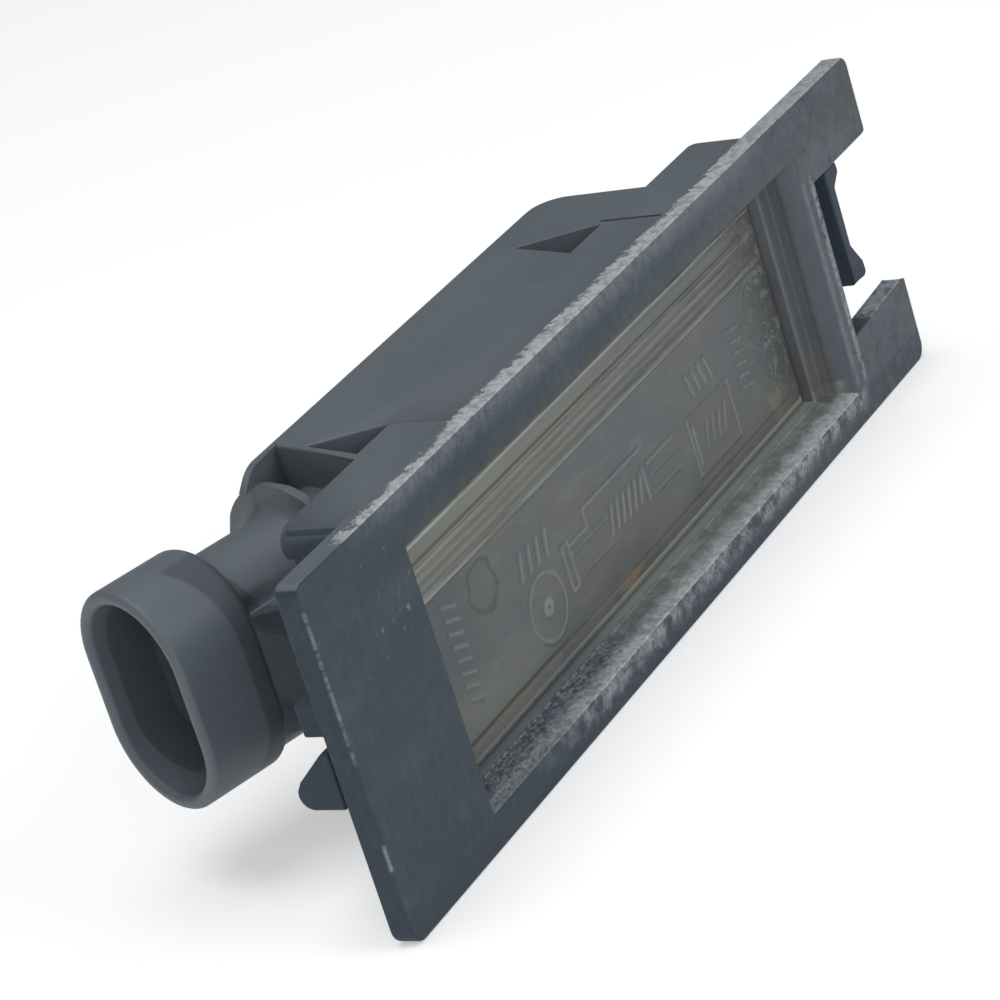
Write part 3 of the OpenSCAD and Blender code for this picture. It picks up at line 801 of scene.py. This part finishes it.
def settle(obj, node):
    """Takes the rounding off every edge near a point of the rounded mesh that lies off the CAD solid.

    At the tabs' ends, where the corners' own radius is larger, a point may lie farther off. Each try
    measures the rounded mesh anew, until no point strays.
    """
    solid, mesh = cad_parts[node].data, obj.data
    tree = BVHTree.FromPolygons([v.co for v in solid.vertices], [list(p.vertices) for p in solid.polygons])
    ends = edge_ends(mesh)
    start, along = ends[:, 0], ends[:, 1] - ends[:, 0]
    square = np.maximum((along * along).sum(1), TINY)
    weights = mesh.attributes["bevel_weight_edge"].data
    for _ in range(TRIES):
        shaped = obj.evaluated_get(bpy.context.evaluated_depsgraph_get())
        points = numbers(shaped.to_mesh().vertices, "co", np.float64, 3)
        shaped.to_mesh_clear()
        away = np.array([tree.find_nearest(Vector(point))[3] for point in points])
        weight = numbers(weights, "value", np.float32)
        limit = np.where(points[:, 0] > FLANGE_X[1] - TAB_END, TAB_STRAY, STRAY)
        strays = np.flatnonzero(away > limit)
        if not len(strays):
            return
        for point, gap in zip(points[strays], away[strays]):
            t = np.clip(((point - start) * along).sum(1) / square, 0, 1)
            away_from_edge = np.linalg.norm(start + t[:, None] * along - point, axis=1)
            weight[away_from_edge < 1.5 * gap + 0.0004] = 0
        weights.foreach_set("value", weight)
        mesh.update()


def housing_share(middle, small):
    """1 at the tabs' corners and small at other edges, but 0 at the slits, the latch's root and the socket.

    The socket's place is told along its own axis: an edge's way from the mouth's middle is turned by the
    socket's yaw into a depth along the axis and a distance across it.
    """
    x, y, z = middle.T
    mouth_x, mouth_y, mouth_z = -36.65, 18.8, 1.4
    cosine, sine = 0.942, 0.3355
    depth = (x - mouth_x) * cosine - (y - mouth_y) * sine
    across = (x - mouth_x) * sine + (y - mouth_y) * cosine
    socket = (depth < 17.5) & (np.abs(across) < 6.4) & (np.abs(z - mouth_z) < 8.7)
    slits = (z > 10.5) & (y > 0.05) & (y < 8.2) & ((np.abs(x + 16.2) < 0.4) | (np.abs(x - 17.7) < 0.5))
    latch = (x > 38) & (y > 2.2) & (y < 3.0) & (np.abs(z + 4.9) < 0.5)
    tabs = (x > FLANGE_X[1] / MM - 0.8) & (np.abs(y - FACE_Y / MM / 2) < 0.3)
    return np.where(socket | slits | latch, 0.0, np.where(tabs, 1.0, small))


class LAMP_OT_housing(bpy.types.Operator):
    """Rounds the housing's edges and gives it worn plastic"""

    bl_idname = "lamp.housing"
    bl_label = "Housing"

    def execute(self, context):
        finish = context.scene.lamp_housing
        radius = finish.corner_radius
        small = finish.edge_radius / radius
        piece = rounded_copy(
            "housing", "housing_moulding", radius, lambda middle: housing_share(middle, small))
        finish_piece(piece, housing_material(finish), "housing_plastic", "housing")
        return {"FINISHED"}


def ramp(value, low, high):
    """0 below low, 1 above high, smooth between; low above high turns it round."""
    t = np.clip((value - low) / (high - low), 0, 1)
    return t * t * (3 - 2 * t)


def near_strokes(x, z, strokes, half):
    """1 on straight strokes and 0 away from them: the distance to the nearest, ramped at its half width."""
    nearest = np.full(x.shape, 1e9)
    for x0, z0, x1, z1 in strokes:
        dx, dz = x1 - x0, z1 - z0
        t = np.clip(((x - x0) * dx + (z - z0) * dz) / max(dx * dx + dz * dz, 1e-9), 0, 1)
        nearest = np.minimum(nearest, np.hypot(x - x0 - t * dx, z - z0 - t * dz))
    return ramp(nearest, half + 0.1, half - 0.1)


def near_ring(x, z, cx, cz, radius, half):
    """1 on a ring and 0 away from it: the distance from the ring's line, ramped at its half width."""
    return ramp(np.abs(np.hypot(x - cx, z - cz) - radius), half + 0.1, half - 0.1)


def hatch(x0, x1, z0, z1, count, lean=0.35):
    """Slanting strokes side by side that fill a box."""
    step = (x1 - x0) / count
    return [(x0 + (i + 0.5 - lean) * step, z0, x0 + (i + 0.5 + lean) * step, z1) for i in range(count)]


def frame_strokes(x0, x1, z0, z1):
    """The four sides of a box."""
    return [(x0, z0, x1, z0), (x1, z0, x1, z1), (x1, z1, x0, z1), (x0, z1, x0, z0)]


def lens_marks(x, z):
    """Plain moulded marks, 1 on a mark and 0 beside it: the largest of all strokes and rings at a point."""
    thin, bold = 0.13, 0.19
    outline = [(-8.7, -2.6, -5.7, -2.6), (-5.7, -2.6, -5.7, -1.2), (-5.7, -1.2, 4.0, -1.2),
               (-8.7, -3.3, -3.0, -3.3), (-8.7, -5.2, -3.0, -5.2), (4.2, -2.6, 8.6, -2.6),
               (4.2, -3.6, 8.6, -3.6), (4.2, -5.0, 8.6, -5.0)]
    rows = [(20.4, 0.3 - 0.95 * i, 22.1, 0.0 - 0.95 * i) for i in range(6)]
    rows += [(-25.3, 1.6 - 1.0 * i, -23.7, 1.0 - 1.0 * i) for i in range(8)]
    marks = near_ring(x, z, -13.2, -4.9, 2.45, thin)
    marks = np.maximum(marks, near_ring(x, z, -13.2, -4.9, 0.45, 0.3))
    for strokes, half in (
        (frame_strokes(-9.6, -8.7, -2.2, -5.6), thin),
        (outline, thin),
        (hatch(-2.8, 3.0, -4.7, -2.9, 6), bold),
        ([(3.4, -2.6, 3.4, -5.0)], bold),
        (frame_strokes(11.1, 18.3, -2.7, -7.2), thin),
        ([(11.7, -3.4, 11.7, -6.6)], bold),
        (hatch(13.0, 17.2, -5.8, -4.0, 4), thin),
        (hatch(12.4, 16.8, -1.5, 0.2, 4, -0.25), bold),
        (hatch(-15.6, -10.6, -1.7, 0.0, 4, 0.2), bold),
        (rows, thin),
    ):
        marks = np.maximum(marks, near_strokes(x, z, strokes, half))
    arc = near_ring(x, z, 26.2, -0.6, 3.1, thin) * ramp(x, 23.0, 23.6)
    return np.maximum(marks, arc * 0.4)


def lens_ribs(z):
    """Height across the lens: a raised strip, three fine ribs, a thick rib and a bead along the bottom.

    Each is its height times a ramp of the distance from its middle line. A groove beside the strip is taken
    off in the same way.
    """
    rise = 0.0
    for middle, half, height in ((7.0, 0.25, 0.28), (5.1, 0.2, 0.09), (4.45, 0.2, 0.09), (3.8, 0.2, 0.08),
                                 (3.0, 0.3, 0.2), (-8.75, 0.6, 0.16)):
        rise = rise + height * ramp(np.abs(z - middle), half + 0.12, half - 0.16)
    return rise - 0.08 * ramp(np.abs(z - 5.62), 0.16, 0.04)


def box_points(low, high):
    """The eight corners of a box and its six faces, all facing outwards."""
    pick = np.array([[i, j, k] for i in (0, 1) for j in (0, 1) for k in (0, 1)])
    faces = np.array([[0, 1, 3, 2], [4, 6, 7, 5], [0, 4, 5, 1], [2, 3, 7, 6], [0, 2, 6, 4], [1, 5, 7, 3]])
    return np.where(pick == 0, low, high), faces


class LAMP_OT_lens(bpy.types.Operator):
    """Makes the lens: a ribbed face with moulded marks, the rim behind it and its four snap lugs"""

    bl_idname = "lamp.lens"
    bl_label = "Lens"

    def execute(self, context):
        # The face is a grid over X and Z. Its height over the plate is the ribs plus the marks times the
        # relief, less a rounding that grows towards the border. The border is carried to the back and
        # shrunk to the rim's inner side in three rings, and the last ring closes the plate's back.
        finish = context.scene.lamp_lens
        low, high = LENS_LOW / MM, LENS_HIGH / MM
        rib, lug, rim, thick = 0.3, 0.55, 1.2, 1.7
        snap_long, snap_deep, overlap = 3, 0.5, 0.5  # half a snap's length and depth, its hold in the plate
        plate_y = low[1] + rib
        z_low, z_high = low[2] + lug, high[2] - lug
        x_lines = np.linspace(low[0], high[0], 470)
        z_lines = np.unique(np.concatenate([
            np.linspace(z_low, z_high, 118), np.linspace(2.5, 7.4, 34), np.linspace(-9.5, -7.9, 12)]))
        rows, columns = len(z_lines), len(x_lines)
        x, z = np.meshgrid(x_lines, z_lines)
        marks = lens_marks(x, z)
        ends = np.minimum(x - low[0], high[0] - x)
        edge = np.minimum(ends, np.minimum(z - z_low, z_high - z))
        rounding = 0.15 * ramp(edge, 0.25, 0.0)
        rise = lens_ribs(z) * ramp(ends, 0.7, 0.9) + marks * finish.relief / MM - rounding
        face = np.stack([x, plate_y - rise, z], -1).reshape(-1, 3)
        index = np.arange(rows * columns).reshape(rows, columns)
        border = np.concatenate([index[0, :-1], index[:-1, -1], index[-1, :0:-1], index[:0:-1, 0]])
        count = len(border)
        ring = face[border]
        middle = np.array([(low[0] + high[0]) / 2, 0, (z_low + z_high) / 2])
        half = np.array([(high[0] - low[0]) / 2, 1, (z_high - z_low) / 2])
        shrink = (half - np.array([rim, 0, rim])) / half

        def ring_at(y, factor=(1, 1, 1)):
            """The border moved to one depth and shrunk towards the middle."""
            out = middle + (ring - middle) * factor
            out[:, 1] = y
            return out

        rings = [ring_at(high[1]), ring_at(high[1], shrink), ring_at(plate_y + thick, shrink)]
        points = [face, *rings]
        loops = [border] + [rows * columns + count * i + np.arange(count) for i in range(3)]
        faces = grid_faces(rows, columns).tolist()
        for a, b in zip(loops, loops[1:]):
            faces += np.stack([a, np.roll(a, -1), np.roll(b, -1), b], 1).tolist()
        faces.append(loops[-1].tolist())
        total = rows * columns + 3 * count
        snap_y = (plate_y + thick + high[1]) / 2
        for snap_x in (-14, 14):
            for z0, z1 in ((low[2], z_low + overlap), (z_high - overlap, high[2])):
                near = (snap_x - snap_long, snap_y - snap_deep, z0)
                far = (snap_x + snap_long, snap_y + snap_deep, z1)
                corner, sides = box_points(near, far)
                points.append(corner)
                faces += (sides + total).tolist()
                total += len(corner)
        piece = surface("lens_moulding", np.concatenate(points) * MM, faces)
        work = bmesh.new()
        work.from_mesh(piece.data)
        bmesh.ops.recalc_face_normals(work, faces=work.faces)
        work.to_mesh(piece.data)
        work.free()
        piece.data.set_sharp_from_angle(angle=math.radians(50))
        tone = piece.data.attributes.new("marks", "FLOAT", "POINT")
        plain = np.zeros(total - marks.size)
        tone.data.foreach_set("value", np.append(marks.ravel(), plain).astype(np.float32))
        finish_piece(piece, lens_material(finish), "lens_plastic", "lens")
        return {"FINISHED"}


class LAMP_OT_bulb(bpy.types.Operator):
    """Gives the bulb its glass, caps and coil"""

    bl_idname = "lamp.bulb"
    bl_label = "Bulb"

    def execute(self, context):
        finish = context.scene.lamp_bulb
        dress_node("bulb_glass", glass_material())
        caps = metal_material("cap_metal", (0.7, 0.7, 0.68), 0.3, (0.4, 0.38, 0.34))
        dress_node("cap_left", caps)
        dress_node("cap_right", caps)
        wire = metal_material("lead_wire", (0.6, 0.58, 0.55), 0.35, (0.3, 0.28, 0.26))
        dress_node("lead_left", wire)
        dress_node("lead_right", wire)
        # The coil: a small circle of points, of angle v, is carried along a helix, of way u. A point's
        # distance from the axis is the helix's radius plus the cosine of v times the wire's radius.
        low, high = corners("filament")
        radius = (high[2] - low[2]) / 2
        wire_share, around, steps = 0.24, 10, 20
        thin = radius * wire_share
        along = finish.coil_turns * steps
        u = np.linspace(0, 1, along)[:, None]
        v = np.linspace(0, 2 * np.pi, around, endpoint=False)[None, :]
        turn = 2 * np.pi * finish.coil_turns * u
        reach = radius - thin + thin * np.cos(v)
        x = low[0] + thin + (high[0] - low[0] - 2 * thin) * u + thin * np.sin(v)
        y = (low[1] + high[1]) / 2 + reach * np.cos(turn)
        z = (low[2] + high[2]) / 2 + reach * np.sin(turn)
        points = np.stack([x, y, z], -1).reshape(-1, 3)
        faces = grid_faces(along, around, closed=True).tolist()
        faces += [list(range(around)), list(range((along - 1) * around, along * around))[::-1]]
        coil = surface("filament_coil", points, faces)
        finish_piece(coil, metal_material("filament_metal", (0.3, 0.3, 0.31), 0.4, (0.12, 0.12, 0.13)),
                     "filament_metal", "filament")
        return {"FINISHED"}


class LAMP_OT_contacts(bpy.types.Operator):
    """Gives the contact strips their brass"""

    bl_idname = "lamp.contacts"
    bl_label = "Contacts"

    def execute(self, context):
        brass = metal_material("contact_brass", context.scene.lamp_bulb.brass)
        dress_node("contact_left", brass)
        dress_node("contact_right", brass)
        return {"FINISHED"}


def floor_material(colour):
    """A matt floor that glows a little where the camera or a reflection looks at it, and lights nothing."""
    material = bpy.data.materials.new("floor")
    material.use_nodes = True
    nodes, links = material.node_tree.nodes, material.node_tree.links
    nodes.clear()
    out = nodes.new("ShaderNodeOutputMaterial")
    matt = nodes.new("ShaderNodeBsdfDiffuse")
    matt.inputs["Color"].default_value = (*colour, 1)
    glow = nodes.new("ShaderNodeEmission")
    glow.inputs["Strength"].default_value = 0.4
    both = nodes.new("ShaderNodeAddShader")
    seen = nodes.new("ShaderNodeMixShader")
    path = nodes.new("ShaderNodeLightPath")
    links.new(matt.outputs[0], both.inputs[0])
    links.new(glow.outputs[0], both.inputs[1])
    looked_at = path.outputs["Is Camera Ray"]
    for way in ("Is Glossy Ray", "Is Transmission Ray"):
        either = nodes.new("ShaderNodeMath")
        either.operation = "MAXIMUM"
        links.new(looked_at, either.inputs[0])
        links.new(path.outputs[way], either.inputs[1])
        looked_at = either.outputs[0]
    links.new(looked_at, seen.inputs[0])
    links.new(matt.outputs[0], seen.inputs[1])
    links.new(both.outputs[0], seen.inputs[2])
    links.new(seen.outputs[0], out.inputs["Surface"])
    return material


class LAMP_OT_studio(bpy.types.Operator):
    """Makes the floor, the lights and the camera"""

    bl_idname = "lamp.studio"
    bl_label = "Studio"

    def execute(self, context):
        scene, studio = context.scene, context.scene.lamp_studio
        ground = CAD_BOX[0][2]
        wide = 4.0
        points = np.array([[x * wide, y * wide, ground] for x, y in ((-1, -1), (1, -1), (1, 1), (-1, 1))])
        floor = surface("floor", points, [[0, 1, 2, 3]], smooth=False)
        floor.data.materials.append(floor_material(studio.floor))

        world = bpy.data.worlds.new("studio")
        world.use_nodes = True
        scene.world = world
        sky = world.node_tree.nodes["Background"]
        sky.inputs["Color"].default_value = (0.93, 0.96, 1.0, 1)
        sky.inputs["Strength"].default_value = studio.world

        centre = Vector((0, 0, 0))
        for name, place, size, power in (
            ("key", (-0.05, 0.08, 0.6), 0.5, studio.key),
            ("front", (0.05, -0.5, 0.3), 0.4, studio.front),
            ("left", (-0.35, -0.1, 0.35), 0.35, studio.left * 0.45),
            ("low_left", (-0.4, -0.25, 0.12), 0.3, studio.left * 0.55),
        ):
            lamp = bpy.data.lights.new(name, "AREA")
            lamp.shape = "DISK"
            lamp.size = size
            lamp.energy = power
            obj = bpy.data.objects.new(name, lamp)
            obj.location = place
            obj.rotation_euler = (centre - Vector(place)).to_track_quat("-Z", "Y").to_euler()
            scene.collection.objects.link(obj)

        camera = bpy.data.cameras.new("camera")
        camera.sensor_width = CAMERA_SENSOR
        camera.lens = CAMERA_LENS
        camera.clip_start = 0.01
        camera.clip_end = 20
        obj = bpy.data.objects.new("camera", camera)
        right, up = Vector(CAMERA_RIGHT), Vector(CAMERA_UP)
        turn = Matrix((right, up, right.cross(up))).transposed().to_4x4()
        obj.matrix_world = Matrix.Translation(CAMERA_PLACE) @ turn
        scene.collection.objects.link(obj)
        scene.camera = obj
        scene.view_settings.view_transform = "Standard"
        return {"FINISHED"}


class LAMP_PT_panel(bpy.types.Panel):
    """Lists the operators and their values"""

    bl_label = "Plate lamp"
    bl_idname = "LAMP_PT_panel"
    bl_space_type = "VIEW_3D"
    bl_region_type = "UI"
    bl_category = "Plate lamp"

    def draw(self, context):
        """Draws a box of values for each group and a button for each operator."""
        layout = self.layout
        for group in GROUPS:
            box = layout.box()
            for key in getattr(context.scene, group).__annotations__:
                box.prop(getattr(context.scene, group), key)
        for operator in OPERATORS:
            layout.operator(operator.bl_idname)


OPERATORS = (LAMP_OT_housing, LAMP_OT_lens, LAMP_OT_bulb, LAMP_OT_contacts, LAMP_OT_studio)
CLASSES = (HousingFinish, LensFinish, BulbFinish, Studio, *OPERATORS, LAMP_PT_panel)
GROUPS = {
    "lamp_housing": HousingFinish,
    "lamp_lens": LensFinish,
    "lamp_bulb": BulbFinish,
    "lamp_studio": Studio,
}


def register():
    """Makes the classes and their values known."""
    for item in CLASSES:
        bpy.utils.register_class(item)
    for name, group in GROUPS.items():
        setattr(bpy.types.Scene, name, bpy.props.PointerProperty(type=group))


def unregister():
    """Takes the values and the classes away again."""
    for name in GROUPS:
        delattr(bpy.types.Scene, name)
    for item in reversed(CLASSES):
        bpy.utils.unregister_class(item)


def main():
    """Makes every piece and the studio."""
    register()
    bpy.ops.lamp.housing()
    bpy.ops.lamp.lens()
    bpy.ops.lamp.bulb()
    bpy.ops.lamp.contacts()
    bpy.ops.lamp.studio()
    bpy.context.view_layer.update()


if __name__ == "__main__":
    main()
